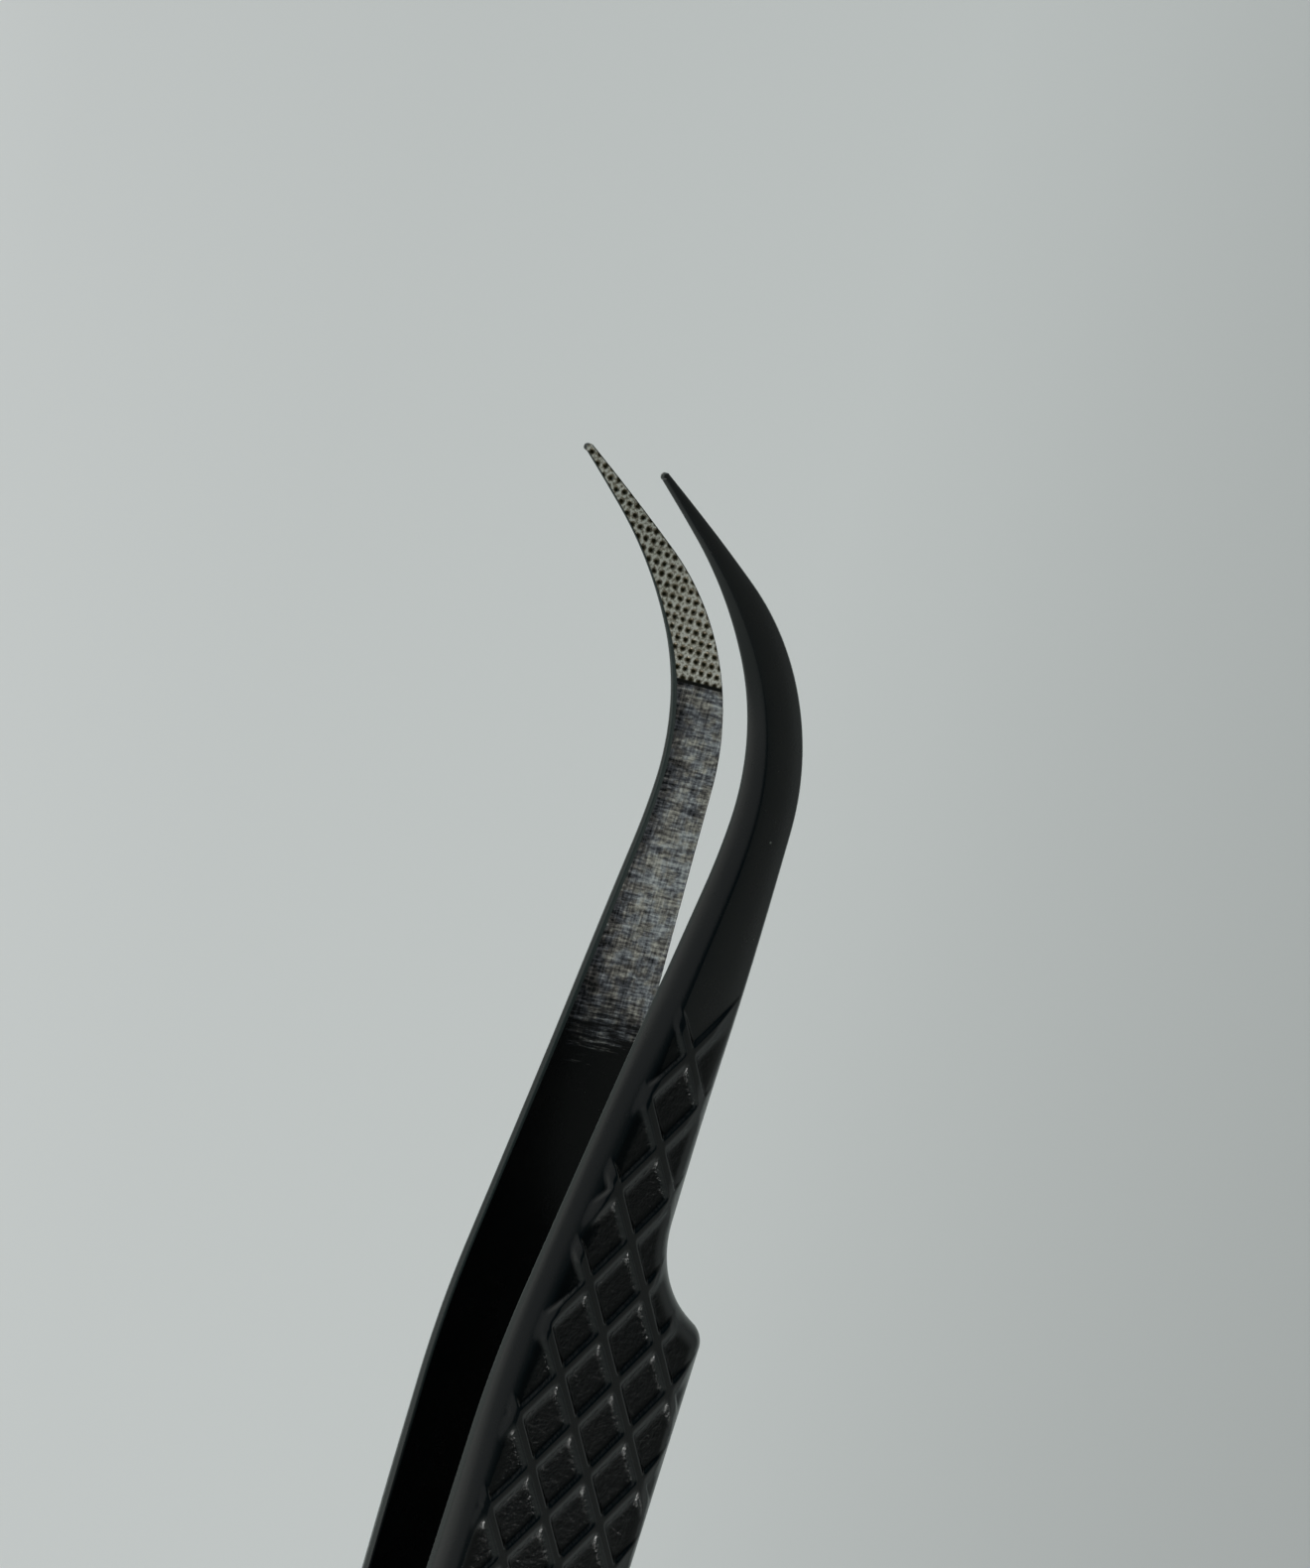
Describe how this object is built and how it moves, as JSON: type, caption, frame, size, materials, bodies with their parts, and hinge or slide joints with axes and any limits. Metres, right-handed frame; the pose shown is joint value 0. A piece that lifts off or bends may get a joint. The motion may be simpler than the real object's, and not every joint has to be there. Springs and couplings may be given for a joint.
{
  "type": "curved-tip tweezers",
  "caption": "Curved-tip precision tweezers: bowed spring arms joined at the tail, ridged diamond grip, fine swept tips, satin black coating.",
  "frame": {"origin": "centre of the length and of the opening, on the plane the straight notch-side edges rest on", "axes": "+X from the tail to the tips, +Y across the opening towards the left arm, +Z towards the side the tips sweep to"},
  "size_m": [0.1303, 0.0114, 0.0173],
  "materials": {
    "coated_steel": "satin black coating over stainless spring steel",
    "weld_steel": "bare spot-weld nugget"
  },
  "bodies": {
    "tail": {"left_tang": "coated_steel", "right_tang": "coated_steel", "rear_weld": "weld_steel", "front_weld": "weld_steel"},
    "left_arm": {"left_arm": "coated_steel"},
    "right_arm": {"right_arm": "coated_steel"}
  },
  "joints": [
    {"name": "left_arm_flex", "type": "hinge", "parent": "tail", "child": "left_arm", "pos_m": [-0.041, 0.00105, 0], "axis": [0, 0, -1], "range_deg": [0, 2.4], "stiffness_Nm_per_rad": 2.5},
    {"name": "right_arm_flex", "type": "hinge", "parent": "tail", "child": "right_arm", "pos_m": [-0.041, -0.00105, 0], "axis": [0, 0, 1], "range_deg": [0, 2.4], "stiffness_Nm_per_rad": 2.5}
  ],
  "couplings": [
    {"joint": "right_arm_flex", "follows": "left_arm_flex", "ratio": 1}
  ]
}
